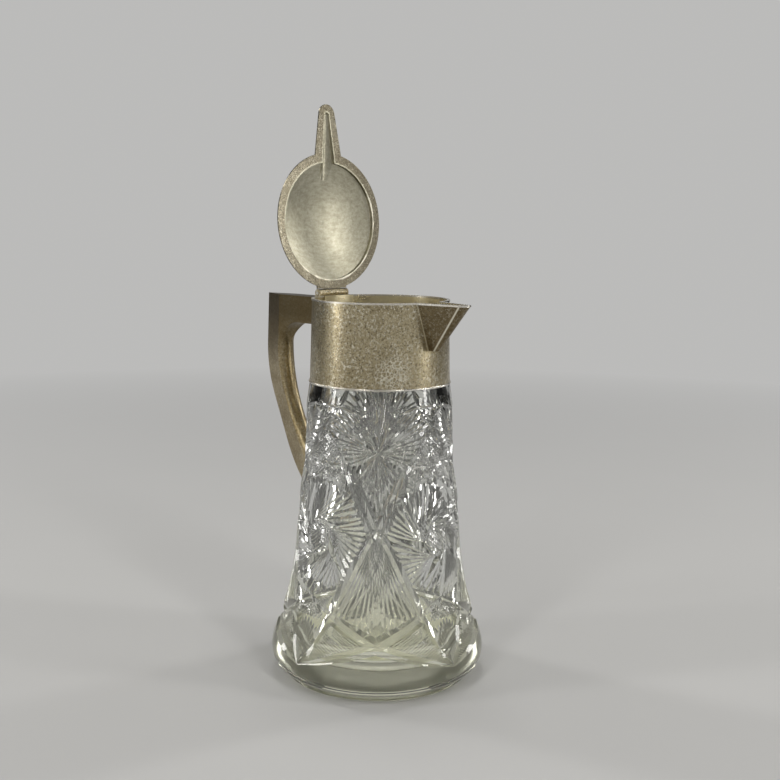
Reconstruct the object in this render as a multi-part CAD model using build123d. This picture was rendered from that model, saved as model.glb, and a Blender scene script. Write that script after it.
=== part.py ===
"""Claret jug: a cut-glass body with a silver collar, spout, wedge-shaped handle and hinged lid.

Frame: millimetres, +Z up, the jug's axis is the Z axis and its foot stands on z = 0.
The spout points along +X, the handle along -X and the hinge pin lies along Y.
The lid is drawn closed, then swung to its open stop, which is the rest pose.
"""
import math
import os

from build123d import *

# ---------------------------------------------------------------- driving dimensions
# heights of the jug
RIM_Z = 250.0                # top of the rim wire
COLLAR_H = 54.7              # height of the silver collar
NECK_H = 20.7                # glass neck hidden inside the collar
SHOULDER_H = 14.3            # clear band of glass under the collar

# glass body, outer radii
BULGE_R = 71.4               # widest part of the base
BULGE_Z = 16.5               # height of the widest part
FOOT_IN = 9.1                # foot ring, in from the widest part
FOOT_RING_H = 3.4            # height of the foot ring
FOOT_EDGE = 0.8              # bevel under the foot ring
WAIST_IN = 7.5               # where the base runs into the body, in from the widest part
WAIST_Z = 42.0
SHOULDER_OUT = 2.3           # body under the shoulder, out from the collar
NECK_EDGE = 1.5              # bevel on the neck's top edge
GLASS_WALL = 7.6             # wall of the body
NECK_WALL = 5.4              # wall of the neck
FLOOR_Z = 14.0               # inside floor of the body
FLOOR_CORNER = 16.0          # radius between floor and wall inside
FLOOR_OUT = 1.0              # the wall is this much thinner at the floor
MOUTH_DROP = 3.0             # bore of the neck begins this far under the collar
FOOT_RING_W = 7.3            # width of the foot ring
BASE_RECESS = 1.2            # hollow ground under the foot

# silver collar
RIM_R = 44.8                 # outer radius at the rim
COLLAR_R = 46.1              # outer radius at the lower edge
SHEET = 1.2                  # thickness of the silver sheet
CEMENT = 1.3                 # least thickness of the plaster between neck and collar
LEDGE_OUT = 0.1              # glass ledge under the collar, out from the collar
RIM_WIRE_H = 1.1             # height of the wire along the rim and the spout
RIM_WIRE_OUT = 0.5           # how far that wire stands out
RIM_WIRE_IN = 1.7            # how far it reaches in
BEAD_R = 0.75                # half-round bead on the lower edge of the collar

# spout
SPOUT_REACH = 31.6           # tip at the rim, out from the rim
SPOUT_NOSE_R = 4.7           # radius of the nose at the rim
SPOUT_ROOT_W = 11.2          # half width where the spout leaves the collar, at the rim
SPOUT_H = 30.0               # rim to the lower end of the spout
SPOUT_FOOT_OUT = 7.6         # nose at the lower end, out from the rim
SPOUT_FOOT_R = 2.2
SPOUT_FOOT_W = 2.8
SPOUT_SINK = 3.0             # its form reaches this far into the collar before it is trimmed

# handle, a hollow wedge with its sharp ridge outwards
HANDLE_DROP = 2.0            # top of the handle under the rim
ARM_H = 18.7                 # height of the arm that leaves the collar
HANDLE_HALF_W = 7.0
HANDLE_REACH = 73.6          # ridge where the grip begins, out from the rim
RIDGE_TOP_IN = 1.4           # ridge at the top corner, in from there
SHOULDER_RUN = 35.0          # height from the top corner to where the ridge starts to curve
RIDGE_BEND_R = 85.0          # first bend of the ridge
RIDGE_LEAN = 24.5            # degrees from upright after that bend
RIDGE_STRAIGHT = 36.0        # straight run between the two bends
TAIL_BEND_R = 108.0          # second bend of the ridge, towards the glass
TAIL_TURN = 32.0             # degrees turned by that bend
TAIL_RUN = 8.0               # straight run of the ridge at the free end
GRIP_DEPTH = 25.2            # ridge to inner face at the top of the grip
WEDGE = 20.5                 # length of the flat sides of the wedge
ARCH_R = 16.2                # arch under the arm
INNER_BEND_R = 108.0         # bend of the inner face
INNER_TURN = 34.0            # degrees turned by that bend
INNER_STRAIGHT = 52.0        # straight run of the inner face towards the glass
CUTTER_BEYOND = 6.0          # cutters run this far past both ends of the handle
CUTTER_SIDE = 3.0            # past its sides
CUTTER_OUT = 1.0             # and out of the face they shape
INNER_CROWN = 5.0            # how far the inner face of the grip is rounded
CROWN_START_R = 9.0          # the rounding runs out under the arch on this radius
TAIL_FIT = 0.3               # free end of the handle to the glass

# hinge
HINGE_OUT = 3.2              # pin behind the rim
HINGE_UP = 1.6               # pin above the rim
HINGE_W = 26.0
KNUCKLE_R = 2.6
KNUCKLES = 5
PIN_R = 1.0
PIN_SEAT = 0.01              # the pin sits tight in the collar's knuckles
PIN_FIT = 0.05               # running clearance of the pin in the lid's knuckles
PIN_END = 0.4                # how far the pin stands out of the last knuckle
SIDE_FIT = 0.15              # gap between neighbouring knuckles
SWING_FIT = 0.3              # clearance round the moving knuckles
TAB_H = 9.0                  # tab of the hinge plate inside the collar
PLATE_FIT = 0.1              # solder gap round the hinge plate

# lid
LID_OVER = 0.6               # lid stands out over the rim
LID_GAP = 0.25               # closed lid to rim
LEAF_FIT = 0.05              # leaf to the wall of the dome
FLANGE_T = 1.0
FLANGE_W = 5.4               # width of the flat border
DOME_H = 10.5
DOME_EDGE_H = 2.2            # short steep wall at the edge of the dome
TONGUE_OVER = 1.2            # tongue stands out over the spout's tip
TONGUE_NOSE_R = 6.8
TONGUE_SIDE = 0.2            # tongue stands out beside the spout's root
RIDGE_ROOT_R = 6.2           # hollow ridge along the tongue, at the dome
RIDGE_TIP_R = 2.6            # and at its tip
RIDGE_END = 7.0              # middle of its round end, back from the tongue's tip
RIDGE_SINK = 12.0            # how far it runs into the dome
LID_OPEN = 93.5              # degrees from closed to the open stop

# cut decoration, four panels round the body; heights are shares of the body's side,
# from the waist to the shoulder
PANELS = 4
PANEL_AT = -45.0             # degrees, middle of the first panel
STAR = 0.827                 # middle of the big star
STAR_TOP = 1.03              # tips of its rays
STAR_FOOT = 0.56
CROSS = 0.471                # where the two arms cross, top of the kite
STAR_PAIRS = [               # ends of the rays beside it, an upper one and the one it runs on into
    ((15.0, 1.0), (15.0, 0.655)),
    ((31.0, 1.01), (20.0, 0.70)),
    ((44.0, 0.93), (23.0, 0.76)),
]
ARMS = [                     # upper and lower ends of the arms' two mitres
    ((23.0, 0.755), (4.0, CROSS)),
    ((19.0, 0.755), (-1.0, CROSS + 0.04)),
]
SILL_FROM = (23.0, 0.755)    # cut that joins the arms of two panels
SILL = 0.705
LATTICE_FROM = (25.0, 0.19)  # crossed cuts between two kites
LATTICE = 0.145
KITE_SIDE = 0.09             # side corners of the kite
KITE_SIDE_AT = 28.0          # and their angle
KITE_FOOT = -0.025           # lower corner of the kite
CHEVRON_FOOT = -0.035        # upper ends of the chevrons, just under it
POINT = -0.163               # low points between the kites, on the bulge
ARM_W = 5.6                  # width of the mitres in the arms
KITE_W = 6.4                 # width of the long mitres down the sides of the kite
FOOT_W = 7.8                 # width of the two under it
CHEVRON_W = 5.6              # and of those that run from its foot to the low points
EDGE_W = 3.4                 # width of the finer mitres
STAR_W = 5.0                 # width of the star's rays in the middle
MITRE_ANGLE = 102.0          # degrees between the two flanks of a mitre
MITRE_REACH = 0.6            # how far a cutter runs past the ends of its cut
MITRE_RISE = 2.5             # how far it stands out of the glass

# ---------------------------------------------------------------- sizes that follow
COLLAR_Z = RIM_Z - COLLAR_H
COLLAR_TOP_Z = RIM_Z - RIM_WIRE_H
NECK_TOP_Z = COLLAR_Z + NECK_H
SHOULDER_Z = COLLAR_Z - SHOULDER_H
FOOT_R = BULGE_R - FOOT_IN
WAIST_R = BULGE_R - WAIST_IN
SHOULDER_R = COLLAR_R + SHOULDER_OUT
LEDGE_R = COLLAR_R + LEDGE_OUT
SPOUT_TIP_X = RIM_R + SPOUT_REACH
SPOUT_FOOT_X = RIM_R + SPOUT_FOOT_OUT
SPOUT_FOOT_Z = RIM_Z - SPOUT_H
HANDLE_TOP_Z = RIM_Z - HANDLE_DROP
HANDLE_UNDER_Z = HANDLE_TOP_Z - ARM_H
GRIP_Z = HANDLE_TOP_Z - SHOULDER_RUN
RIDGE_X = RIM_R + HANDLE_REACH
RIDGE_TOP_X = RIDGE_X - RIDGE_TOP_IN
HINGE_X = -(RIM_R + HINGE_OUT)
HINGE_Z = RIM_Z + HINGE_UP
KNUCKLE_L = HINGE_W / KNUCKLES
LID_R = RIM_R + LID_OVER
LID_Z = RIM_Z + LID_GAP
DOME_R = LID_R - FLANGE_W
TONGUE_TIP_X = SPOUT_TIP_X + TONGUE_OVER
TONGUE_ROOT_W = SPOUT_ROOT_W + TONGUE_SIDE
RIDGE_TIP_CX = TONGUE_TIP_X - RIDGE_END
HUGE = 400.0                 # larger than the jug, for cutting away whole sides
BEYOND = 1.0                 # a form that is taken out runs this far past the piece


# ---------------------------------------------------------------- small helpers
def lift(z):
    return Pos(0, 0, z)


def polar(radius, degrees, z=0.0):
    """A point at this radius and angle round the jug's axis; 0 degrees is the spout."""
    a = math.radians(degrees)
    return Vector(radius * math.cos(a), radius * math.sin(a), z)


def ring(outer, inner, bottom, top):
    """A plain ring round the jug's axis."""
    tube = Cylinder(outer, top - bottom) - Cylinder(inner, top - bottom)
    return lift((bottom + top) / 2) * tube


def along_y(radius, length, x, z, y=0.0):
    """A bar that lies along the hinge line."""
    return Pos(x, y, z) * Rot(90, 0, 0) * Cylinder(radius, length)


def cone_between(r_low, z_low, r_high, z_high):
    """A solid cone round the jug's axis."""
    return lift((z_low + z_high) / 2) * Cone(r_low, r_high, z_high - z_low)


def turned(lines):
    """A solid of revolution from a closed half section, drawn as radius and height."""
    return revolve(Plane.XZ * make_face(Curve() + lines), Axis.Z)


def save(node, shape):
    export_step(shape, f"parts/{node}.step")


def collar_outer_r(z):
    """Outer radius of the tapered collar at a height."""
    return COLLAR_R + (RIM_R - COLLAR_R) * (z - COLLAR_Z) / (RIM_Z - COLLAR_Z)


NECK_R = min(COLLAR_R, collar_outer_r(NECK_TOP_Z)) - SHEET - CEMENT


# ---------------------------------------------------------------- glass body
def side_z(share):
    """Height at a share of the body's side."""
    return WAIST_Z + share * (SHOULDER_Z - WAIST_Z)


# the side narrows quickly above the base and hardly under the shoulder:
# share of the height, share of the radius that is left
SIDE_SHAPE = [(0.0, 1.0), (0.13, 0.72), (0.29, 0.48), (0.45, 0.35), (0.61, 0.225),
              (0.755, 0.07), (0.87, 0.006), (1.0, 0.0)]

# radius and height along the outer side, from the foot ring up to the collar
BASE_KNOTS = [(FOOT_R + 0.9, FOOT_RING_H), (BULGE_R - 2.0, 0.52 * BULGE_Z), (BULGE_R, BULGE_Z),
              (BULGE_R - 1.9, (BULGE_Z + WAIST_Z) / 2 - 2.3), (WAIST_R, WAIST_Z)]
SIDE_KNOTS = [(SHOULDER_R + left * (WAIST_R - SHOULDER_R), side_z(share))
              for share, left in SIDE_SHAPE]
SHOULDER_KNOTS = [(SHOULDER_R, SHOULDER_Z), (SHOULDER_R - 1.0, SHOULDER_Z + 0.42 * SHOULDER_H),
                  (LEDGE_R, COLLAR_Z)]
OUTSIDE = [Spline(*knots) for knots in (BASE_KNOTS, SIDE_KNOTS, SHOULDER_KNOTS)]


def body_radius(z):
    """Outer radius of the body at a height, found on its outline."""
    curve = next((c for c in OUTSIDE if z <= (c @ 1).Y), OUTSIDE[-1])
    low, high = 0.0, 1.0
    for _ in range(30):
        middle = (low + high) / 2
        if (curve @ middle).Y < z:
            low = middle
        else:
            high = middle
    return (curve @ low).X


def glass_blank():
    """The body before it is hollowed and cut."""
    return turned([
        Line((0, 0), (FOOT_R - FOOT_EDGE, 0)),
        Line((FOOT_R - FOOT_EDGE, 0), (FOOT_R, FOOT_EDGE)),
        Line((FOOT_R, FOOT_EDGE), BASE_KNOTS[0]),
        *OUTSIDE,
        Line((LEDGE_R, COLLAR_Z), (NECK_R, COLLAR_Z)),
        Line((NECK_R, COLLAR_Z), (NECK_R, NECK_TOP_Z - NECK_EDGE)),
        Line((NECK_R, NECK_TOP_Z - NECK_EDGE), (NECK_R - NECK_EDGE, NECK_TOP_Z)),
        Line((NECK_R - NECK_EDGE, NECK_TOP_Z), (0, NECK_TOP_Z)),
        Line((0, NECK_TOP_Z), (0, 0)),
    ])


def glass_hollow():
    """The room inside, from the floor up through the mouth."""
    mouth_r = NECK_R - NECK_WALL
    mouth_z = COLLAR_Z - MOUTH_DROP
    top = NECK_TOP_Z + BEYOND
    floor_r = WAIST_R - GLASS_WALL + FLOOR_OUT
    corner = (floor_r - FLOOR_CORNER, FLOOR_Z)
    wall_foot = (floor_r, FLOOR_Z + FLOOR_CORNER)
    bend = FLOOR_CORNER * (1 - math.sqrt(0.5))
    wall = [(r - GLASS_WALL, z) for r, z in SIDE_KNOTS[2:-1]]
    return turned([
        Line((0, FLOOR_Z), corner),
        ThreePointArc(corner, (floor_r - bend, FLOOR_Z + bend), wall_foot),
        Spline(wall_foot, *wall, (mouth_r, mouth_z)),
        Line((mouth_r, mouth_z), (mouth_r, top)),
        Line((mouth_r, top), (0, top)),
        Line((0, top), (0, FLOOR_Z)),
    ])


def v_outline(rise):
    """Section of a V cut with its bottom at 0, 0; the rise is signed."""
    spread = abs(rise) * math.tan(math.radians(MITRE_ANGLE / 2))
    return Polyline((0, 0), (spread, rise), (-spread, rise), close=True)


def v_cutter(bottom, outward, rise):
    """What a V-edged wheel takes out along an arc through three points on the cut's bottom."""
    arc = Edge.make_three_point_arc(*bottom)
    frame = Plane(origin=bottom[0], x_dir=arc.normal(), z_dir=arc % 0)
    out = 1 if frame.y_dir.dot(outward) > 0 else -1
    outline = v_outline(out * rise)
    swing = Axis(arc.arc_center, arc.normal())
    more = math.degrees(MITRE_REACH / arc.radius)
    turn = math.degrees(arc.length / arc.radius)
    section = (frame * make_face(outline)).rotate(swing, -more)
    return revolve(section, swing, turn + 2 * more)


def wheel_cut(places, depths):
    """A cut under three places on the body, each an angle and a height.

    Where the depth under a place is nothing, the cut runs out in a point.
    """
    bottom = [polar(body_radius(z) - depth, angle, z)
              for (angle, z), depth in zip(places, depths)]
    return v_cutter(bottom, polar(1.0, places[0][0]), max(depths) + MITRE_RISE)


def mitre_depth(width):
    return width / 2 / math.tan(math.radians(MITRE_ANGLE / 2))


def mitre(at_a, at_b, width):
    """A V cut of even width between two places on the body."""
    middle = ((at_a[0] + at_b[0]) / 2, (at_a[1] + at_b[1]) / 2)
    return wheel_cut([at_a, middle, at_b], [mitre_depth(width)] * 3)


def ray_pair(tip_a, middle, tip_b):
    """Two rays of a star in one cut, deepest in the middle of the star."""
    return wheel_cut([tip_a, middle, tip_b], [0.0, mitre_depth(STAR_W), 0.0])


def panel_cuts(middle):
    """The broad cuts of one panel: star, crossed arms, kite and the points on the bulge."""
    star = (middle, side_z(STAR))
    cuts = [ray_pair((middle, side_z(STAR_TOP)), star, (middle, side_z(STAR_FOOT)))]
    for side in (-1, 1):
        def at(angle, share):
            return (middle + side * angle, side_z(share))
        cross = (0.0, CROSS)
        corner = (KITE_SIDE_AT, KITE_SIDE)
        foot = (0.0, KITE_FOOT)
        point = (180 / PANELS, POINT)
        for (tip_at, tip), (low_at, low) in STAR_PAIRS:
            cuts.append(ray_pair(at(tip_at, tip), star, at(-low_at, low)))
        for (top_at, top), (low_at, low) in ARMS:
            cuts.append(mitre(at(top_at, top), at(low_at, low), ARM_W))
        cuts.append(mitre(at(*cross), at(*corner), KITE_W))
        cuts.append(mitre(at(*corner), at(*foot), FOOT_W))
        cuts.append(mitre(at(*corner), at(*point), EDGE_W))
        cuts.append(mitre(at(*point), at(0.0, CHEVRON_FOOT), CHEVRON_W))
        cuts.append(mitre(at(*SILL_FROM), at(180 / PANELS, SILL), EDGE_W))
        cuts.append(mitre(at(*LATTICE_FROM), at(180 / PANELS, LATTICE), EDGE_W))
    return cuts


def glass_body():
    body = glass_blank() - glass_hollow()
    body = body - lift(BASE_RECESS / 2) * Cylinder(FOOT_R - FOOT_RING_W, BASE_RECESS)
    for panel in range(PANELS):
        for cut in panel_cuts(PANEL_AT + panel * 360 / PANELS):
            body = body - cut
    return body


# ---------------------------------------------------------------- collar and spout
def spout_outline(root_w, nose_r, tip_x, inset=0.0):
    """Plan of the spout at one level: two straight sides closed by a round nose."""
    nose_x = tip_x - nose_r
    root_x = math.sqrt(RIM_R ** 2 - root_w ** 2) - SPOUT_SINK
    back = root_w + SPOUT_SINK * (root_w - nose_r) / (nose_x - root_x)
    w = back - inset
    r = nose_r - inset
    tilt = math.atan2(w - r, nose_x - root_x)
    touch = (nose_x + r * math.sin(tilt), r * math.cos(tilt))
    sides = [
        Line((root_x, w), touch),
        ThreePointArc(touch, (nose_x + r, 0), (touch[0], -touch[1])),
        Line((touch[0], -touch[1]), (root_x, -w)),
        Line((root_x, -w), (root_x, w)),
    ]
    return make_face(Curve() + sides)


def spout_form(inset=0.0):
    """The spout as a solid wedge; an inset gives the channel inside it, open at the top."""
    low = lift(SPOUT_FOOT_Z) * spout_outline(
        SPOUT_FOOT_W, SPOUT_FOOT_R, SPOUT_FOOT_X, min(inset, 0.6 * SPOUT_FOOT_R))
    high = lift(COLLAR_TOP_Z) * spout_outline(SPOUT_ROOT_W, SPOUT_NOSE_R, SPOUT_TIP_X, inset)
    form = loft([low, high], ruled=True)
    if inset:
        floor = lift(SPOUT_FOOT_Z + inset / 2) * Box(HUGE, HUGE, inset)
        form = form - floor + extrude(high, inset)
    return form


def collar_form(low, high, inset=0.0):
    """The tapered tube of the collar as a solid between two heights."""
    return cone_between(collar_outer_r(low) - inset, low, collar_outer_r(high) - inset, high)


def collar():
    wall = collar_form(COLLAR_Z, COLLAR_TOP_Z) - collar_form(COLLAR_Z, COLLAR_TOP_Z, SHEET)
    return wall - spout_form(SHEET)


def spout():
    return spout_form() - spout_form(SHEET) - collar_form(COLLAR_Z, RIM_Z)


def rim_outline(out):
    """Plan of the rim and spout together, at the rim."""
    disc = Circle(RIM_R)
    beak = spout_outline(SPOUT_ROOT_W, SPOUT_NOSE_R, SPOUT_TIP_X)
    return offset(disc + beak, amount=out, kind=Kind.ARC)


def rim_wire():
    band = rim_outline(RIM_WIRE_OUT) - rim_outline(-RIM_WIRE_IN)
    wire = lift(COLLAR_TOP_Z) * extrude(band, RIM_WIRE_H)
    seat = Pos(HINGE_X, 0, RIM_Z) * Box(RIM_R / 2, HINGE_W + 2 * SIDE_FIT, RIM_Z)
    return wire - seat


def collar_bead():
    """Half-round wire soldered round the lower edge of the collar."""
    low, high = COLLAR_Z, COLLAR_Z + 2 * BEAD_R
    middle_r = collar_outer_r(COLLAR_Z + BEAD_R)
    bottom, top = (collar_outer_r(low), low), (collar_outer_r(high), high)
    return turned([
        ThreePointArc(bottom, (middle_r + BEAD_R, COLLAR_Z + BEAD_R), top),
        Line(top, bottom),
    ])


def cement_bed():
    """Plaster that holds the collar on the glass neck."""
    low, high = COLLAR_Z, NECK_TOP_Z - NECK_EDGE
    return collar_form(low, high, SHEET) - lift((low + high) / 2) * Cylinder(NECK_R, high - low)


# ---------------------------------------------------------------- handle
# drawn in distance from the axis (x), height (y) and sideways (z), then laid along -X
HANDLE_PLANE = Plane(origin=(0, 0, 0), x_dir=(-1, 0, 0), z_dir=(0, 1, 0))


def straight(point, heading, length):
    """End point of a straight run; the heading is in degrees from straight down."""
    h = math.radians(heading)
    return (point[0] - length * math.sin(h), point[1] - length * math.cos(h))


def bend(point, heading, radius, turn):
    """End point of an arc that turns towards the jug."""
    h0, h1 = math.radians(heading), math.radians(heading + turn)
    x = point[0] + radius * (math.cos(h1) - math.cos(h0))
    return (x, point[1] + radius * (math.sin(h0) - math.sin(h1)))


def bend_arc(point, heading, radius, turn):
    return ThreePointArc(
        point, bend(point, heading, radius, turn / 2), bend(point, heading, radius, turn))


def ridge_path(beyond=0.0):
    """The sharp outer ridge from the top corner to the free end."""
    lean = math.degrees(math.atan2(RIDGE_TOP_X - RIDGE_X, HANDLE_TOP_Z - GRIP_Z))
    grip = (RIDGE_X, GRIP_Z)
    top = straight((RIDGE_TOP_X, HANDLE_TOP_Z), lean, -beyond)
    turn = RIDGE_LEAN - lean
    knee = bend(grip, lean, RIDGE_BEND_R, turn)
    calf = straight(knee, RIDGE_LEAN, RIDGE_STRAIGHT)
    tail = bend(calf, RIDGE_LEAN, TAIL_BEND_R, TAIL_TURN)
    lines = [
        Line(top, grip),
        bend_arc(grip, lean, RIDGE_BEND_R, turn),
        Line(knee, calf),
        bend_arc(calf, RIDGE_LEAN, TAIL_BEND_R, TAIL_TURN),
        Line(tail, straight(tail, RIDGE_LEAN + TAIL_TURN, TAIL_RUN + beyond)),
    ]
    return lines


def grip_path(inset=0.0, beyond=0.0):
    """Inner face of the grip, from the foot of the arch down to the glass."""
    x = RIDGE_X - GRIP_DEPTH + inset
    top = (x, HANDLE_UNDER_Z - ARCH_R)
    knee = bend(top, 0.0, INNER_BEND_R + inset, INNER_TURN)
    return [
        bend_arc(top, 0.0, INNER_BEND_R + inset, INNER_TURN),
        Line(knee, straight(knee, INNER_TURN, INNER_STRAIGHT + beyond)),
    ]


def arch_arc(radius, x, z):
    """Quarter arch from under the arm down into the grip."""
    s = radius * math.sqrt(0.5)
    centre = (x - radius, z - radius)
    return ThreePointArc(
        (centre[0], z), (centre[0] + s, centre[1] + s), (x, centre[1]))


def handle_side_view(inset=0.0, top=HANDLE_TOP_Z - SHEET):
    """Side view of the handle; an inset gives the hollow inside it."""
    x = RIDGE_X - GRIP_DEPTH + inset
    ridge, grip = ridge_path(), grip_path(inset)
    arch = arch_arc(ARCH_R + inset, x, HANDLE_UNDER_Z + inset)
    under = HANDLE_UNDER_Z + inset
    outline = ridge + grip + [
        arch,
        Line(ridge[-1] @ 1, grip[-1] @ 1),
        Line(arch @ 0, (0, under)),
        Line((0, under), (0, HANDLE_TOP_Z)),
        Line((0, HANDLE_TOP_Z), ridge[0] @ 0),
    ]
    view = make_face(Curve() + outline)
    above = Pos(0, top + HUGE / 2) * Rectangle(HUGE, HUGE)
    return view - above


def wedge_cutter(half_width, inset, side):
    """Follows the ridge and leaves one flat side of the wedge."""
    path = Wire(ridge_path(beyond=CUTTER_BEYOND))
    frame = Plane(origin=path @ 0, x_dir=(0, 0, side), z_dir=path % 0)
    slope = HANDLE_HALF_W / WEDGE
    inward = side
    start = inset * math.hypot(1, slope) / slope
    deep = start + half_width / slope
    outside = -CUTTER_OUT
    outline = Polyline(
        (slope * (outside - start), inward * outside),
        (half_width, inward * deep),
        (HANDLE_HALF_W + CUTTER_SIDE, inward * deep),
        (HANDLE_HALF_W + CUTTER_SIDE, inward * outside),
        close=True,
    )
    return sweep(frame * make_face(outline), path)


def crown_cutter(half_width, inset):
    """Rounds the inner face of the grip and runs out under the arch."""
    grip = grip_path(inset, beyond=CUTTER_BEYOND)
    top = grip[0] @ 0
    start = arch_arc(CROWN_START_R, top.X, top.Y + CROWN_START_R)
    path = Wire([start] + grip)
    frame = Plane(origin=path @ 0, x_dir=(0, 0, 1), z_dir=path % 0)
    inward = 1 if frame.y_dir.Y < 0 else -1
    reach = half_width + CUTTER_SIDE
    outline = [
        ThreePointArc((-half_width, -inward * INNER_CROWN), (0, 0),
                      (half_width, -inward * INNER_CROWN)),
        Line((half_width, -inward * INNER_CROWN), (reach, -inward * INNER_CROWN)),
        Line((reach, -inward * INNER_CROWN), (reach, inward * CUTTER_OUT)),
        Line((reach, inward * CUTTER_OUT), (-reach, inward * CUTTER_OUT)),
        Line((-reach, inward * CUTTER_OUT), (-reach, -inward * INNER_CROWN)),
        Line((-reach, -inward * INNER_CROWN), (-half_width, -inward * INNER_CROWN)),
    ]
    return sweep(frame * make_face(Curve() + outline), path)


def handle_form(inset=0.0, top=HANDLE_TOP_Z - SHEET):
    """The handle as a solid in its own coordinates."""
    half_width = HANDLE_HALF_W - inset
    form = extrude(handle_side_view(inset, top), half_width, both=True)
    for side in (-1, 1):
        form = form - wedge_cutter(half_width, inset, side)
    return form - crown_cutter(half_width, inset)


def jug_inside_handle():
    """Everything of the jug that the handle ends against."""
    jug = collar_form(COLLAR_Z, RIM_Z)
    for (r0, z0), (r1, z1) in zip(SIDE_KNOTS, SIDE_KNOTS[1:]):
        jug = jug + cone_between(r0 + TAIL_FIT, z0, r1 + TAIL_FIT, z1)
    return jug


def handle_pieces():
    """Side sheets, rounded inner strip and top plate of the hollow handle."""
    jug = jug_inside_handle()
    shell = HANDLE_PLANE * handle_form() - jug - HANDLE_PLANE * handle_form(SHEET, HANDLE_TOP_Z)
    strip_zone = extrude(
        handle_side_view(INNER_CROWN, HANDLE_UNDER_Z + INNER_CROWN), HANDLE_HALF_W + BEYOND, both=True)
    below_arch = Pos(0, HANDLE_UNDER_Z - ARCH_R - HUGE / 2) * Box(HUGE, HUGE, HUGE)
    grip_zone = HANDLE_PLANE * (below_arch - strip_zone)
    inner_strip = shell & grip_zone
    sides = shell - grip_zone
    lid_plan = handle_form(0.0, HANDLE_TOP_Z)
    plate_zone = Pos(0, HANDLE_TOP_Z - SHEET / 2) * Box(HUGE, SHEET, HUGE)
    top_plate = HANDLE_PLANE * (lid_plan & plate_zone) - jug
    return sides, inner_strip, top_plate


# ---------------------------------------------------------------- hinge
def knuckle_places(moving):
    first = 1 if moving else 0
    return [-HINGE_W / 2 + KNUCKLE_L * (i + 0.5) for i in range(first, KNUCKLES, 2)]


def knuckles(moving):
    """The tubes of the hinge that belong to the lid, or to the collar."""
    bore = PIN_R + (PIN_FIT if moving else PIN_SEAT)
    length = KNUCKLE_L - SIDE_FIT
    tubes = []
    for y in knuckle_places(moving):
        tube = along_y(KNUCKLE_R, length, HINGE_X, HINGE_Z, y)
        tubes.append(tube - along_y(bore, length + BEYOND, HINGE_X, HINGE_Z, y))
    return tubes


def clear_of_knuckles(shape, close_to_moving):
    """Hollows a leaf so that it holds its own knuckles and clears the other ones."""
    for moving in (False, True):
        fit = 0.0 if moving == close_to_moving else SWING_FIT
        for y in knuckle_places(moving):
            length = KNUCKLE_L + (0 if fit == 0 else SIDE_FIT)
            shape = shape - along_y(KNUCKLE_R + fit, length, HINGE_X, HINGE_Z, y)
    return shape


def hinge_plate():
    """Saddle over the collar's back edge: a tab inside, a bridge and the knuckle bed outside."""
    tab_out = RIM_R - SHEET - PLATE_FIT
    tab_in = tab_out - SHEET
    tab = ring(tab_out, tab_in, RIM_Z - TAB_H, COLLAR_TOP_Z)
    width = Pos(HINGE_X, 0, RIM_Z) * Box(RIM_R, HINGE_W, 4 * TAB_H)
    top = RIM_Z - PLATE_FIT
    near, far = -tab_in / 2, HINGE_X - KNUCKLE_R
    bridge = Pos((far + near) / 2, 0, (COLLAR_TOP_Z + top) / 2) * Box(
        near - far, HINGE_W, top - COLLAR_TOP_Z)
    bridge = bridge - lift(RIM_Z) * Cylinder(tab_in, TAB_H)
    return clear_of_knuckles((tab & width) + bridge, close_to_moving=False)


def hinge_pin():
    return along_y(PIN_R, HINGE_W + 2 * PIN_END, HINGE_X, HINGE_Z)


# ---------------------------------------------------------------- lid, drawn closed
def tongue_outline():
    nose_x = TONGUE_TIP_X - TONGUE_NOSE_R
    root_x = math.sqrt(LID_R ** 2 - TONGUE_ROOT_W ** 2)
    tilt = math.atan2(TONGUE_ROOT_W - TONGUE_NOSE_R, nose_x - root_x)
    touch = (nose_x + TONGUE_NOSE_R * math.sin(tilt), TONGUE_NOSE_R * math.cos(tilt))
    sides = [
        Line((0, TONGUE_ROOT_W), (root_x, TONGUE_ROOT_W)),
        Line((root_x, TONGUE_ROOT_W), touch),
        ThreePointArc(touch, (TONGUE_TIP_X, 0), (touch[0], -touch[1])),
        Line((touch[0], -touch[1]), (root_x, -TONGUE_ROOT_W)),
        Line((root_x, -TONGUE_ROOT_W), (0, -TONGUE_ROOT_W)),
        Line((0, -TONGUE_ROOT_W), (0, TONGUE_ROOT_W)),
    ]
    return make_face(Curve() + sides)


def dome_form(inset=0.0):
    """Dome and tongue ridge as a solid above the level of the flange's underside."""
    edge = DOME_R - inset
    top = DOME_H - inset
    steep = DOME_EDGE_H
    half = edge * 0.5
    radius = (edge ** 2 + (top - steep) ** 2) / (2 * (top - steep))
    half_z = top - radius + math.sqrt(radius ** 2 - half ** 2)
    outline = [
        Line((0, 0), (edge, 0)),
        Line((edge, 0), (edge, steep)),
        ThreePointArc((edge, steep), (half, half_z), (0, top)),
        Line((0, top), (0, 0)),
    ]
    dome = revolve(Plane.XZ * make_face(Curve() + outline), Axis.Z)
    root_x = DOME_R - RIDGE_SINK
    length = RIDGE_TIP_CX - root_x
    slope = (RIDGE_ROOT_R - RIDGE_TIP_R) / (RIDGE_TIP_CX - DOME_R)
    root_r = RIDGE_ROOT_R + RIDGE_SINK * slope - inset
    tip_r = RIDGE_TIP_R - inset
    ridge = Pos(root_x + length / 2, 0, 0) * Rot(0, 90, 0) * Cone(root_r, tip_r, length)
    ridge = ridge + Pos(RIDGE_TIP_CX, 0, 0) * Sphere(tip_r)
    above = lift(HUGE / 2) * Box(HUGE, HUGE, HUGE)
    return lift(LID_Z) * (dome + (ridge & above))


def lid_dome():
    return dome_form() - dome_form(FLANGE_T)


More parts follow.
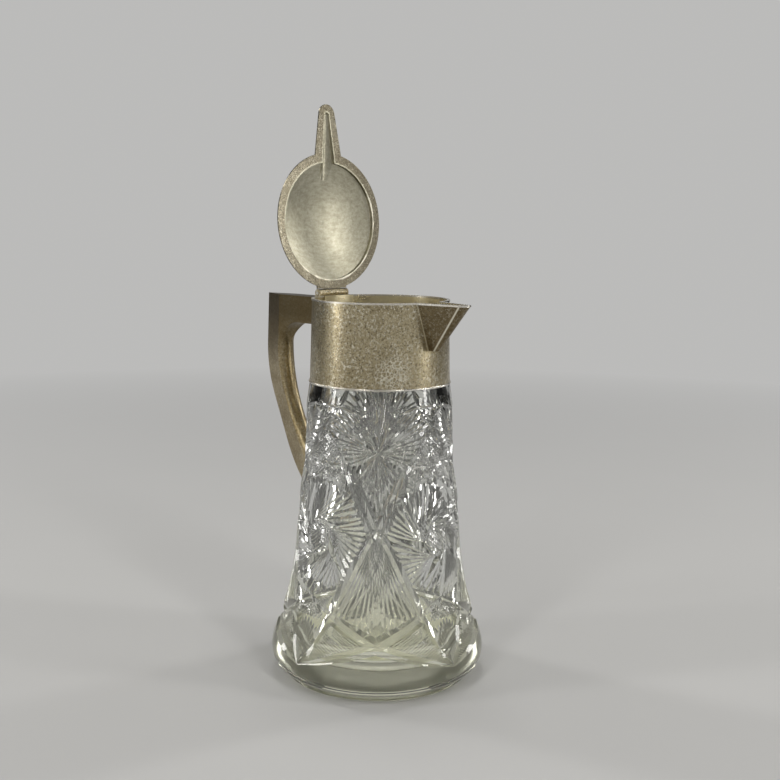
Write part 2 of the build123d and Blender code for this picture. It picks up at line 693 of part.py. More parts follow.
def lid_flange():
    """Flat border of the lid and its tongue."""
    plan = Circle(LID_R) + tongue_outline()
    plate = lift(LID_Z) * extrude(plan, FLANGE_T) - dome_form()
    return plate - along_y(KNUCKLE_R + SWING_FIT, HINGE_W + 2 * BEYOND, HINGE_X, HINGE_Z)


def lid_leaf():
    """Leaf of the hinge, soldered on the lid behind the dome."""
    bottom = LID_Z + FLANGE_T
    inner = DOME_R + LEAF_FIT
    near, far = -inner / 2, HINGE_X - PIN_FIT
    plate = Pos((far + near) / 2, 0, bottom + SHEET / 2) * Box(near - far, HINGE_W, SHEET)
    plate = plate - lift(bottom) * Cylinder(inner, 4 * SHEET)
    return clear_of_knuckles(plate, close_to_moving=True)


# ---------------------------------------------------------------- the whole jug
def opened(shape):
    """Swings a piece of the lid from closed to its open stop."""
    return shape.rotate(Axis((HINGE_X, 0, HINGE_Z), (0, 1, 0)), -LID_OPEN)


def main():
    os.makedirs("parts", exist_ok=True)
    save("glass_body", glass_body())
    save("cement_bed", cement_bed())
    save("collar", collar())
    save("collar_bead", collar_bead())
    save("spout", spout())
    save("rim_wire", rim_wire())
    sides, inner_strip, top_plate = handle_pieces()
    save("handle_sides", sides)
    save("handle_inner_strip", inner_strip)
    save("handle_top_plate", top_plate)
    save("hinge_plate", hinge_plate())
    save("hinge_knuckles_collar", Compound(children=knuckles(moving=False)))
    save("hinge_pin", hinge_pin())
    save("hinge_knuckles_lid", opened(Compound(children=knuckles(moving=True))))
    save("hinge_leaf_lid", opened(lid_leaf()))
    save("lid_flange", opened(lid_flange()))
    save("lid_dome", opened(lid_dome()))


main()
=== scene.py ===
import math

import bmesh
import bpy
import numpy as np
from mathutils import Matrix, Vector


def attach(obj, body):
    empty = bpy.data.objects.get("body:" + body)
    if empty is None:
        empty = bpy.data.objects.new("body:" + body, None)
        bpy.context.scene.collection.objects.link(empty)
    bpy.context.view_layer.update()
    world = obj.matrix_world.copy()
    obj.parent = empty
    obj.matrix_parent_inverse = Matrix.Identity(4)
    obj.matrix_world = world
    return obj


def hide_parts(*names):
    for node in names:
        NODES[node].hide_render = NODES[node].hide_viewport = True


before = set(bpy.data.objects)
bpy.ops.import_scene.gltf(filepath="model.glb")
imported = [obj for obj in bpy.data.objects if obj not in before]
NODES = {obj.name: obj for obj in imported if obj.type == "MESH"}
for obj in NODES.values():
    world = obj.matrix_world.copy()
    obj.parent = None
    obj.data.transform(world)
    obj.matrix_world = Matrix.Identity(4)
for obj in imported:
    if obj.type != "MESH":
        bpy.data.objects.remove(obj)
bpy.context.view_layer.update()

MM = 0.001

# ---------------------------------------------------------------- sizes of the glass, mm
FOOT_R = 62.3
FOOT_EDGE = 0.8              # bevel round the foot
FOOT_RING_H = 3.4
FOOT_RING_W = 7.3
FOOT_RING_LEAN = 0.6         # the ring's inner side comes in by this at the recess
BASE_RECESS = 1.2            # hollow inside the foot ring
BULGE_R = 71.4
BULGE_Z = 16.5
WAIST_R = 63.9               # where the bulge meets the tapering side
WAIST_Z = 42.0
SHOULDER_R = 48.4
SHOULDER_Z = 181.0
SHOULDER_IN = 1.0            # the shoulder has come in by this at the next height
SHOULDER_BEND_Z = 187.0
LEDGE_R = 46.2               # edge of the ledge that the collar stands on
COLLAR_Z = 195.3             # lower edge of the collar
NECK_R = 43.09
NECK_EDGE = 1.5
NECK_TOP_Z = 216.0
NECK_WALL = 5.4
NECK_FROM = 3.0              # the straight inside of the neck starts this far under the collar
GLASS_WALL = 7.6
FLOOR_Z = 14.0
FLOOR_CORNER = 16.0          # radius between floor and wall inside
FLOOR_OUT = 1.0              # radius inside above the floor: waist less wall, and this
SIDE_SHAPE = [               # share of the height, share of the way out to the waist
    (0.0, 1.0), (0.13, 0.72), (0.29, 0.48), (0.45, 0.35), (0.61, 0.225),
    (0.755, 0.07), (0.87, 0.006), (1.0, 0.0)]
SIDE_KNOTS = [(SHOULDER_R + left * (WAIST_R - SHOULDER_R),
               WAIST_Z + share * (SHOULDER_Z - WAIST_Z)) for share, left in SIDE_SHAPE]
BASE_KNOTS = [(FOOT_R + 0.9, FOOT_RING_H), (BULGE_R - 2.0, 0.52 * BULGE_Z), (BULGE_R, BULGE_Z),
              (BULGE_R - 1.9, (BULGE_Z + WAIST_Z) / 2 - 2.3), (WAIST_R, WAIST_Z)]
SHOULDER_KNOTS = [(SHOULDER_R, SHOULDER_Z), (SHOULDER_R - SHOULDER_IN, SHOULDER_BEND_Z),
                  (LEDGE_R, COLLAR_Z)]
SIDE_POINTS = 34             # points on each stretch of the two profiles
BASE_POINTS = 16
SHOULDER_POINTS = 8
CORNER_POINTS = 12
WALL_POINTS = 24
SLOPE_STEP = 1.0             # the slope of the outside is measured over this
ON_AXIS = 1e-6

# ---------------------------------------------------------------- sizes of the cut pattern
PANELS = 4
PANEL = 360.0 / PANELS       # degrees
PANEL_AT = -45.0             # middle of the first kite, from the spout
SPIN_AT = PANEL / 2          # middle of a spinning star, from the middle of a kite
MITRE = 102.0                # degrees between the flanks of the broad cuts
FINE = 96.0                  # and of the fine ones
STEP = 4.0                   # mm, at most, between the sections of a cutter
TIP_STEP = 0.4               # pointed cuts get a section more at this share of their end steps
TURNS = 128                  # sides of the glass blank, round the jug
OVER = 0.4                   # a cutter stands out of the glass by this and a share of its width
OVER_SHARE = 0.22
CUT_CLEAR = 1.2              # least room between cuts whose wedges go into one mesh
BODY_R = 52.0                # radius of the body that such room is measured on
ALONG = (0, 0.33, 0.67, 1)   # and the shares of each step of a cut where it is measured
MIDDLE = 0.2                 # degrees; a cut that stays this close to the middle has no twin
SHORTEST = 1.2               # pitches; shorter lines of a hatching are left out
PARALLEL = 1e-9              # a ray and an edge whose cross product is smaller don't meet


# ---------------------------------------------------------------- profile of the glass
def spline(knots, count):
    """Points on a smooth curve through knots of (radius, height).

    The curve is a cubic spline over t, the distance run from knot to knot, and bend is its
    second derivative at each knot.
    """
    p = np.array(knots, float)
    t = np.concatenate([[0], np.cumsum(np.hypot(*np.diff(p, axis=0).T))])
    h = np.diff(t)
    n = len(t)
    a = np.zeros((n, n))
    b = np.zeros((n, 2))
    a[0, 0] = a[-1, -1] = 1.0
    if n > 3:
        a[0, 0:3] = [h[1], -(h[0] + h[1]), h[0]]
        a[-1, -3:] = [h[-1], -(h[-2] + h[-1]), h[-2]]
    for i in range(1, n - 1):
        a[i, i - 1:i + 2] = [h[i - 1], 2 * (h[i - 1] + h[i]), h[i]]
        b[i] = 6 * ((p[i + 1] - p[i]) / h[i] - (p[i] - p[i - 1]) / h[i - 1])
    bend = np.linalg.solve(a, b)
    out = []
    for s in np.linspace(0, t[-1], count):
        i = min(int(np.searchsorted(t, s, side="right")) - 1, n - 2)
        u, v, w = t[i + 1] - s, s - t[i], h[i]
        out.append(bend[i] * u ** 3 / (6 * w) + bend[i + 1] * v ** 3 / (6 * w)
                   + (p[i] / w - bend[i] * w / 6) * u + (p[i + 1] / w - bend[i + 1] * w / 6) * v)
    return np.array(out)


OUTSIDE = np.vstack([spline(BASE_KNOTS, BASE_POINTS), spline(SIDE_KNOTS, SIDE_POINTS)[1:],
                     spline(SHOULDER_KNOTS, SHOULDER_POINTS)[1:]])


def outer_r(z):
    """Outer radius of the uncut glass at a height."""
    return np.interp(z, OUTSIDE[:, 1], OUTSIDE[:, 0])


def slope(z):
    """How fast that radius grows with the height."""
    return (outer_r(z + SLOPE_STEP / 2) - outer_r(z - SLOPE_STEP / 2)) / SLOPE_STEP


def outer_profile():
    """Half section of the outside, from the middle of the foot up to the mouth."""
    foot = [(0, BASE_RECESS), (FOOT_R - FOOT_RING_W - FOOT_RING_LEAN, BASE_RECESS),
            (FOOT_R - FOOT_RING_W, 0.0), (FOOT_R - FOOT_EDGE, 0.0), (FOOT_R, FOOT_EDGE)]
    neck = [(NECK_R, COLLAR_Z), (NECK_R, NECK_TOP_Z - NECK_EDGE), (NECK_R - NECK_EDGE, NECK_TOP_Z)]
    return foot + [tuple(p) for p in OUTSIDE] + neck


def inner_profile():
    """Half section of the inside, from the middle of the floor up to the mouth."""
    mouth_r = NECK_R - NECK_WALL
    floor_r = WAIST_R - GLASS_WALL + FLOOR_OUT
    corner = [(floor_r - FLOOR_CORNER + FLOOR_CORNER * math.sin(a),
               FLOOR_Z + FLOOR_CORNER - FLOOR_CORNER * math.cos(a))
              for a in np.linspace(0, math.pi / 2, CORNER_POINTS)]
    knots = [corner[-1]] + [(r - GLASS_WALL, z) for r, z in SIDE_KNOTS[2:-1]]
    wall = spline(knots + [(mouth_r, COLLAR_Z - NECK_FROM)], WALL_POINTS)
    return [(0, FLOOR_Z)] + corner + [tuple(p) for p in wall[1:]] + [(mouth_r, NECK_TOP_Z)]


# ---------------------------------------------------------------- mesh helpers
def mesh_object(name, verts, faces):
    """New object in the scene with a mesh of its own."""
    mesh = bpy.data.meshes.new(name)
    mesh.from_pydata([tuple(v) for v in verts], [], [tuple(f) for f in faces])
    mesh.update()
    obj = bpy.data.objects.new(name, mesh)
    bpy.context.scene.collection.objects.link(obj)
    return obj


def lathe(profile, turns):
    """Surface of revolution of a half section that starts on the axis."""
    verts, rows = [], []
    for r, z in profile:
        if r < ON_AXIS:
            rows.append([len(verts)])
            verts.append((0, 0, z * MM))
            continue
        rows.append(list(range(len(verts), len(verts) + turns)))
        for k in range(turns):
            a = 2 * math.pi * (k + 0.5) / turns
            verts.append((r * math.cos(a) * MM, r * math.sin(a) * MM, z * MM))
    faces = []
    for low, high in zip(rows, rows[1:]):
        for k in range(turns):
            n = (k + 1) % turns
            if len(low) == 1:
                faces.append((low[0], high[n], high[k]))
            else:
                faces.append((low[k], low[n], high[n], high[k]))
    return verts, faces


# ---------------------------------------------------------------- cut pattern
# Places are (degrees from the middle of a kite, height in mm). A cut is a line of places
# with the width of the V at each of them.
def even(t):
    """Share of a cut's full width at a share t of its length: even, with short ends."""
    return min(1.0, 14 * t + 0.15, 14 * (1 - t) + 0.15)


def spear(t):
    """The same for a cut that widens slowly from its root and comes to a point."""
    return min(1.0, t / 0.62 + 0.03, ((1 - t) / 0.38) ** 0.8)


def leaf(t):
    """The same for a cut with a point at both ends."""
    return max(math.sin(math.pi * t), 0.0) ** 0.8


def fan(t):
    """The same for a ray that widens nearly up to its blunt end."""
    return min(0.02 + 1.08 * t, 0.3 + 7.5 * (1 - t))


def on_line(places, t):
    """The place at a share t of a line through places, each stretch of it counted alike."""
    spans = len(places) - 1
    i = min(int(t * spans), spans - 1)
    f = t * spans - i
    (a0, z0), (a1, z1) = places[i], places[i + 1]
    return a0 + f * (a1 - a0), z0 + f * (z1 - z0)


def length_mm(places):
    """Length of a line through places, on the glass."""
    total = 0.0
    for (a0, z0), (a1, z1) in zip(places, places[1:]):
        across = math.radians(a1 - a0) * outer_r((z0 + z1) / 2)
        total += math.hypot(across, z1 - z0)
    return total


def cut(places, width, shape=even, angle=MITRE):
    """One cut along a line of places.

    width is its full width, or a list of widths spread evenly from end to end.
    """
    count = max(2, math.ceil(length_mm(places) / STEP))
    ts = [i / count for i in range(count + 1)]
    if shape in (spear, leaf):
        ts = sorted(set(ts + [TIP_STEP / count, 1 - TIP_STEP / count]))
    if isinstance(width, (int, float)):
        widths = [width * shape(t) for t in ts]
    else:
        widths = list(np.interp(ts, np.linspace(0, 1, len(width)), width))
    return {"path": [on_line(places, t) for t in ts], "width": widths, "angle": angle}


def mirrored(cuts):
    """The cuts, each followed by its mirror image unless it lies in the middle of the panel."""
    out = []
    for c in cuts:
        out.append(c)
        if max(abs(a) for a, z in c["path"]) > MIDDLE:
            out.append(dict(c, path=[(-a, z) for a, z in c["path"]]))
    return out


def filled(root, tips, start=0.0, spare=1.08, shape=fan):
    """Rays from one place to a row of tips, each as wide as the space between tips, times spare.

    They begin at a share of the way, start.
    """
    cuts = []
    for i, tip in enumerate(tips):
        sides = [length_mm([tip, tips[k]]) for k in (i - 1, i + 1) if 0 <= k < len(tips)]
        width = spare * sum(sides) / len(sides)
        begin = on_line([root, tip], start)
        if start and shape is fan:
            widths = [width * start * 0.4, width * 0.7, width, width * 0.3]
            cuts.append(cut([begin, tip], widths, angle=FINE))
        else:
            cuts.append(cut([begin, tip], width, shape, FINE))
    return cuts


def row(a, b, count):
    """Places evenly along the line from a to b, its ends included."""
    return [on_line([a, b], i / (count - 1)) for i in range(count)]


STAR = (0.0, 157.0)          # middle of the big star
STAR_UP = (0.0, 189.5)       # its tip straight up
STAR_TIP = (15.5, 182.0)     # its upper tips
TOP_TIP = (31.5, 184.5)      # its upper outer tips
SIDE_TIP = (44.0, 172.0)     # its side tips
ARM_TIP = (22.8, 147.8)      # its lower tips, where the arms begin
FOOT_TIP = (0.0, 114.5)      # its lowest tip, between the arms
KITE_SIDE = (28.2, 54.0)
KITE_FOOT = (0.0, 38.2)
POINT = (45.0, 19.6)         # low points between the kites
LATTICE = (45.0, 62.5)       # crossing above them
RULE_PITCH = 1.42            # mm between the lines of the ruled triangles beside the kite
RULE_PITCH_UP = 1.45         # and of those above them
DIAMOND_PITCH = 2.0          # mm between the cuts of the small diamonds
DIAMOND_W = 2.05
BAND_PITCH = 2.15            # and of those between the stars
BAND_W = 2.25


def star_cuts():
    """The big star under the shoulder: broad rays, with finer ones that fill between them."""
    cuts = [cut([STAR, STAR_UP], 5.4, spear), cut([STAR, FOOT_TIP], 3.4, spear)]
    side = [cut([STAR, STAR_TIP], 4.6, spear), cut([STAR, TOP_TIP], 5.2, spear),
            cut([STAR, SIDE_TIP], 5.0, spear), cut([STAR, ARM_TIP], 4.8, spear)]
    side += filled(STAR, row((14.8, 139.8), (3.4, 121.5), 5), shape=spear)
    side += filled(STAR, row((36.5, 164.5), (24.4, 150.5), 5), start=0.12)
    side += filled(STAR, row((24.0, 182.5), (19.5, 180.8), 2), start=0.3, spare=0.8, shape=leaf)
    side += filled(STAR, [(34.6, 180.6), (38.4, 176.8), (42.0, 174.4)], start=0.25, spare=1.0)
    side += filled(STAR, [(2.7, 188.0), (5.2, 189.5), (7.7, 188.5), (10.2, 186.0), (12.8, 183.2)],
                   start=0.30, spare=1.0, shape=spear)
    lashes = [(1.9, 192.5), (4.6, 193.8), (7.4, 193.4), (10.3, 192.4), (13.3, 191.0), (16.4, 189.4),
              (19.6, 187.8), (22.6, 186.8)]
    for number, tip in enumerate(lashes):
        root = on_line([STAR, tip], 0.72)
        side.append(cut([root, tip], 1.15 if number % 2 else 0.95, leaf, FINE))
    side.append(cut([(16.0, 181.0), (24.0, 182.4), TOP_TIP], [1.2, 3.0, 1.6]))
    side.append(cut([TOP_TIP, (36.5, 178.0), SIDE_TIP], [1.2, 3.4, 1.6]))
    side.append(cut([TOP_TIP, (45.0, 184.6)], [1.4, 2.0]))
    side += filled(TOP_TIP, [(38.2, 175.2), (41.5, 174.4), (44.9, 176.0)], start=0.1)
    side.append(cut([SIDE_TIP, (45.2, 172.0)], 2.2))
    side.append(cut([SIDE_TIP, (34.4, 160.8), ARM_TIP], 2.8))
    return cuts + mirrored(side)


def arm_cuts():
    """The two crossed arms, each a pair of broad mitres side by side."""
    outer = cut([(23.6, 148.2), (5.2, 107.6), (2.0, 101.0)], [5.0, 6.2, 6.2, 4.0])
    inner = cut([(19.0, 145.6), (0.9, 111.2), (-3.2, 102.6)], [5.0, 5.9, 5.9, 3.4])
    return mirrored([outer, inner])


def kite_cuts():
    """The long kite under the crossing: broad borders round a fan of rays."""
    edge = [(0.6, 110.0), (9.2, 95.5), (14.2, 86.5), (19.4, 75.0), (24.4, 64.0), (28.6, 53.4)]
    border = cut(edge, [3.0, 5.6, 7.0, 7.6, 7.6, 7.4, 6.6, 5.0])
    foot = cut([(30.0, 55.0), KITE_FOOT, (-3.0, 36.6)], [4.0, 7.2, 8.6, 8.6, 6.0])
    cuts = mirrored([border, foot])
    tips = [(25.2 * u, 41.6 + 11.5 * abs(u)) for u in np.linspace(-1, 1, 15)]
    return cuts + filled((0.0, 106.5), tips)


def hatch(corners, along, pitch, width):
    """Parallel cuts inside a convex outline, pitch mm apart; along is their direction, in mm."""
    mid = np.mean(corners, axis=0)
    scale = math.radians(1) * outer_r(mid[1])
    pts = np.array([((a - mid[0]) * scale, z - mid[1]) for a, z in corners])
    way = np.array(along, float)
    way /= np.hypot(*way)
    across = np.array([-way[1], way[0]])
    levels = pts @ across
    cuts = []
    count = int((levels.max() - levels.min()) / pitch)
    start = (levels.max() + levels.min() - count * pitch) / 2
    for i in range(count + 1):
        level = start + i * pitch
        hits = []
        for p, q in zip(pts, np.roll(pts, -1, axis=0)):
            a, b = p @ across - level, q @ across - level
            if a * b < 0:
                hits.append((p + (q - p) * a / (a - b)) @ way)
        if len(hits) == 2 and abs(hits[1] - hits[0]) > SHORTEST * pitch:
            ends = [across * level + way * hit for hit in sorted(hits)]
            places = [(mid[0] + e[0] / scale, mid[1] + e[1]) for e in ends]
            cuts.append(cut(places, width, even, FINE))
    return cuts


def direction(a, b):
    """Direction from one place to another, in mm on the glass."""
    scale = math.radians(1) * outer_r((a[1] + b[1]) / 2)
    return ((b[0] - a[0]) * scale, b[1] - a[1])


def base_cuts():
    """Finely ruled triangles beside the kite, points on the bulge and what stands on them."""
    rule = direction(KITE_SIDE, KITE_FOOT)
    triangle = [(28.6, 48.4), (6.0, 36.2), (42.6, 21.6)]
    side = hatch(triangle, rule, RULE_PITCH, 1.46)
    side.append(cut([(25.0, 34.8), (28.8, 30.2)], 1.3, even, FINE))
    side.append(cut([(29.2, 53.4), (36.6, 37.5), POINT], [3.0, 4.2, 0.8]))
    side.append(cut([(-3.0, 37.4), (0.0, 36.4), (22.5, 28.2), POINT], [6.0, 8.2, 7.0, 4.6, 0.8]))
    side += filled(POINT, row((36.6, 44.5), (43.6, 49.0), 4), spare=1.05)
    side.append(cut([(23.6, 70.6), LATTICE, (61.8, 53.9)], 3.6))
    side += hatch([(26.5, 67.0), (41.0, 61.4), (30.5, 56.0)], direction((28.0, 55.0), LATTICE),
                  RULE_PITCH_UP, 1.5)
    cuts = mirrored(side)
    field = [(45.0, 61.0), (56.5, 55.5), (55.6, 49.0), (45.0, 49.5), (34.4, 49.0), (33.5, 55.5)]
    for along in ((1, 1), (1, -1)):
        cuts += hatch(field, along, DIAMOND_PITCH, DIAMOND_W)
    return cuts


def band_cuts():
    """Diamond-cut fields between the stars, and the arch over the spinning star."""
    side = [cut([ARM_TIP, (34.0, 147.4), (45.2, 146.8)], 2.6),
            cut([(22.4, 131.6), (33.0, 137.8), (45.2, 140.2)], 3.2)]
    cuts = mirrored(side)
    upper = [(45.0, 171.4), (35.6, 161.0), (24.6, 148.8), (45.0, 147.6), (65.4, 148.8),
             (54.4, 161.0)]
    lower = [(24.0, 147.2), (45.0, 146.4), (66.0, 147.2), (66.6, 133.4), (45.0, 140.8),
             (23.4, 133.4)]
    for along in ((1, 0.9), (1, -0.9)):
        cuts += hatch(upper, along, BAND_PITCH, BAND_W)
        cuts += hatch(lower, along, BAND_PITCH, BAND_W)
    return cuts


SPIN_R = 11.5                # from the middle of the spinning star to where its fans start
SPIN_FANS = 5
SPIN_RAYS = 10               # in each fan
SPIN_FIRST = 111.0           # degrees, first of the places where fans start
SPIN_FROM = 22.0             # degrees from straight outwards to a fan's first ray
SPIN_SPREAD = 80.0           # and from its first ray to its last
SPIN_MID_Z = 100.0
SPIN_RAY_W = 4.4             # widest a ray may be
SPIN_FILL = 1.04             # width of a ray, as a share of the space it has
SPIN_EDGE_W = 1.5            # width of the cuts from one of these places to the next
SPIN_FIELD = 0.9             # share of the way to them that the diamond-cut middle fills


def spin_outline():
    """The field of a spinning star, in mm from its middle."""
    scale = math.radians(1) * outer_r(SPIN_MID_Z)
    half = [(0.0, 140.4), (12.0, 138.0), (22.8, 131.8), (28.6, 131.4), (34.0, 119.5),
            (39.4, 107.6), (35.6, 95.5), (30.6, 86.5), (25.4, 75.0), (22.6, 70.2), (10.0, 66.0),
            (0.0, 62.6)]
    right = [(a * scale, z - SPIN_MID_Z) for a, z in half]
    left = [(-x, y) for x, y in right[-2:0:-1]]
    return np.array(right + left)


def ray_end(outline, start, heading):
    """Distance from a place inside an outline to its edge, in one direction."""
    way = np.array([math.cos(heading), math.sin(heading)])
    best = math.inf
    for p, q in zip(outline, np.roll(outline, -1, axis=0)):
        edge = q - p
        det = way[0] * -edge[1] + edge[0] * way[1]
        if abs(det) < PARALLEL:
            continue
        r = p - start
        t = (r[0] * -edge[1] + edge[0] * r[1]) / det
        u = (way[0] * r[1] - way[1] * r[0]) / det
        if t > 0 and 0 <= u <= 1:
            best = min(best, t)
    return best


def spin_cuts():
    """Spinning star: five fans of rays that sweep round a diamond-cut middle."""
    outline = spin_outline()
    scale = math.radians(1) * outer_r(SPIN_MID_Z)

    def place(p):
        return (SPIN_AT + p[0] / scale, SPIN_MID_Z + p[1])

    cuts = []
    between = math.radians(SPIN_SPREAD / (SPIN_RAYS - 1))
    turns = [math.radians(SPIN_FIRST + k * 360 / SPIN_FANS) for k in range(SPIN_FANS)]
    corners = [SPIN_R * np.array([math.cos(at), math.sin(at)]) for at in turns]
    for at, focus in zip(turns, corners):
        for i in range(SPIN_RAYS):
            heading = at - math.radians(SPIN_FROM) - between * i
            reach = ray_end(outline, focus, heading)
            end = focus + reach * np.array([math.cos(heading), math.sin(heading)])
            wide = min(SPIN_FILL * between * reach, SPIN_RAY_W)
            cuts.append(cut([place(focus), place(end)], wide, fan, FINE))
    for p, q in zip(corners, corners[1:] + corners[:1]):
        cuts.append(cut([place(p), place(q)], SPIN_EDGE_W, even, FINE))
    field = [place(p * SPIN_FIELD) for p in corners]
    for along in ((1, 0.8), (1, -0.8)):
        cuts += hatch(field, along, DIAMOND_PITCH, DIAMOND_W)
    return cuts


# ---------------------------------------------------------------- cutters and the cut glass
SHARP = 22.0                 # degrees; faces that differ by more meet in a crisp edge
SKIN_MARGIN = 0.5            # mm at both ends of the curved outside that keep their normals
SKIN_OFF = 0.06              # mm that a corner of the outer skin may lie off its curve
SKIN_FACING = 0.985          # least cosine between a face and the curved outside there
FOOT_SPARE = 0.05            # mm above the recess that still counts as the underside
FOOT_FACING = 0.5            # least share by which a face of the underside looks down


def surface(angle, z):
    """Point on the uncut glass and the direction straight out of it."""
    phi = math.radians(PANEL_AT + angle)
    r = outer_r(z)
    lean = math.atan(-slope(z))
    point = np.array([r * math.cos(phi), r * math.sin(phi), z])
    normal = np.array([math.cos(lean) * math.cos(phi), math.cos(lean) * math.sin(phi),
                       math.sin(lean)])
    return point, normal


def cutter(c, verts, faces, turn):
    """Adds the wedge of one cut, turned by some degrees, to lists of vertices and faces."""
    spread = math.tan(math.radians(c["angle"] / 2))
    spots = [surface(a + turn, z) for a, z in c["path"]]
    points = np.array([p for p, n in spots])
    tangents = np.gradient(points, axis=0)
    first = len(verts)
    for (point, normal), tangent, width in zip(spots, tangents, c["width"]):
        side = np.cross(tangent, normal)
        side /= np.linalg.norm(side)
        depth = width / 2 / spread
        over = OVER + OVER_SHARE * width
        top = point + normal * over
        half = side * spread * (depth + over)
        for v in (point - normal * depth, top + half, top - half):
            verts.append(tuple(v * MM))
    for i in range(len(spots) - 1):
        a, b = first + 3 * i, first + 3 * (i + 1)
        for j in range(3):
            k = (j + 1) % 3
            faces.append((a + j, b + j, b + k, a + k))
    last = first + 3 * (len(spots) - 1)
    faces.append((first, first + 1, first + 2))
    faces.append((last + 2, last + 1, last))


def flat(c):
    """The line of a cut in mm, on the body rolled out flat."""
    return np.array([(math.radians(a) * BODY_R, z) for a, z in c["path"]])


def samples(line):
    """More points on a line than its own."""
    return np.vstack([a + (b - a) * t for a, b in zip(line, line[1:]) for t in ALONG])


def apart(c, d):
    """True if two cuts stay clear of each other, also across the seam between two panels."""
    p, q = flat(c), flat(d)
    reach = max(c["width"]) / 2 + max(d["width"]) / 2 + CUT_CLEAR
    for shift in (-PANEL, 0.0, PANEL):
        s = q + [math.radians(shift) * BODY_R, 0]
        if np.any(p.min(0) - reach > s.max(0)) or np.any(s.min(0) - reach > p.max(0)):
            continue
        gap = np.sqrt(((samples(p)[:, None] - samples(s)[None]) ** 2).sum(-1)).min()
        if gap < reach:
            return False
    return True


def batches(cuts):
    """Sorts the cuts into lots whose wedges don't touch, so that each lot is one cutter mesh."""
    lots = []
    for c in cuts:
        for lot in lots:
            if all(apart(c, other) for other in lot):
                lot.append(c)
                break
        else:
            lots.append([c])
    return lots


def all_cuts():
    """Every cut of one panel."""
    return star_cuts() + arm_cuts() + kite_cuts() + base_cuts() + band_cuts() + spin_cuts()


def outward(obj):
    """Turns all faces of a mesh outwards."""
    work = bmesh.new()
    work.from_mesh(obj.data)
    bmesh.ops.recalc_face_normals(work, faces=work.faces)
    work.to_mesh(obj.data)
    work.free()


def drop_fins(mesh):
    """Removes pairs of faces on the same corners: slivers of no thickness that cutting leaves."""
    work = bmesh.new()
    work.from_mesh(mesh)
    work.verts.index_update()
    met = {}
    for face in work.faces:
        met.setdefault(frozenset(v.index for v in face.verts), []).append(face)
    fins = [face for lot in met.values() if len(lot) > 1 for face in lot]
    bmesh.ops.delete(work, geom=fins, context="FACES")
    work.to_mesh(mesh)
    work.free()


def ground_foot(glass, foot):
    """Gives the underside of the foot its own, ground finish."""
    glass.data.materials.append(foot)
    last = len(glass.data.materials) - 1
    for face in glass.data.polygons:
        if face.center.z < (BASE_RECESS + FOOT_SPARE) * MM and face.normal.z < -FOOT_FACING:
            face.material_index = last


def glass_blank():
    """The uncut glass body: outside and inside, joined round the mouth.

    The inside has half as many sides as the outside.
    """
    sides = TURNS // 2
    verts, faces = lathe(outer_profile(), TURNS)
    shift = len(verts)
    more, inner = lathe(inner_profile(), sides)
    verts += more
    faces += [tuple(reversed([shift + i for i in f])) for f in inner]
    outer_top = shift - TURNS
    inner_top = len(verts) - sides
    for k in range(sides):
        n = (k + 1) % sides
        a = [outer_top + 2 * k, outer_top + 2 * k + 1, outer_top + (2 * k + 2) % TURNS]
        faces.append((a[0], a[1], inner_top + k))
        faces.append((a[1], a[2], inner_top + n, inner_top + k))
    glass = mesh_object("cut_glass_body", verts, faces)
    outward(glass)
    return glass


def cutter_meshes():
    """The wedges of all cuts on all panels, in as few meshes as they fit in."""
    tools = []
    for number, lot in enumerate(batches(all_cuts())):
        verts, faces = [], []
        for c in lot:
            for panel in range(PANELS):
                cutter(c, verts, faces, panel * PANEL)
        tools.append(mesh_object(f"cutter_{number}", verts, faces))
        outward(tools[-1])
    return tools


def cut_glass(skin, facets):
    """The glass body with all its cuts; the cuts keep a material of their own."""
    glass = glass_blank()
    glass.data.materials.append(skin)
    tools = cutter_meshes()
    for tool in tools:
        tool.data.materials.append(facets)
        boolean = glass.modifiers.new(tool.name, "BOOLEAN")
        boolean.operation = "DIFFERENCE"
        boolean.solver = "MANIFOLD"
        boolean.material_mode = "TRANSFER"
        boolean.object = tool
    depsgraph = bpy.context.evaluated_depsgraph_get()
    done = bpy.data.meshes.new_from_object(glass.evaluated_get(depsgraph))
    glass.modifiers.clear()
    glass.data = done
    drop_fins(done)
    for tool in tools:
        mesh = tool.data
        bpy.data.objects.remove(tool)
        bpy.data.meshes.remove(mesh)
    return glass


def finish_normals(glass):
    """Smooth outside skin, crisp cuts: skin corners get the normal of the uncut surface."""
    mesh = glass.data
    mesh.polygons.foreach_set("use_smooth", [True] * len(mesh.polygons))
    mesh.set_sharp_from_angle(angle=math.radians(SHARP))
    mesh.update()
    normals = np.zeros(len(mesh.loops) * 3)
    mesh.corner_normals.foreach_get("vector", normals)
    normals = normals.reshape(-1, 3)
    verts = np.zeros(len(mesh.vertices) * 3)
    mesh.vertices.foreach_get("co", verts)
    verts = verts.reshape(-1, 3) / MM
    for face in mesh.polygons:
        loops = list(face.loop_indices)
        ids = [mesh.loops[i].vertex_index for i in loops]
        pts = verts[ids]
        r = np.hypot(pts[:, 0], pts[:, 1])
        z = pts[:, 2]
        if z.min() < FOOT_RING_H + SKIN_MARGIN or z.max() > COLLAR_Z - SKIN_MARGIN:
            continue
        if np.abs(r - outer_r(z)).max() > SKIN_OFF:
            continue
        lean = -np.arctan(slope(z))
        out = np.cos(lean)
        skin = np.stack([out * pts[:, 0] / r, out * pts[:, 1] / r, np.sin(lean)], 1)
        if skin.mean(0) @ np.array(face.normal) < SKIN_FACING:
            continue
        normals[loops] = skin
    mesh.normals_split_custom_set([tuple(n) for n in normals])


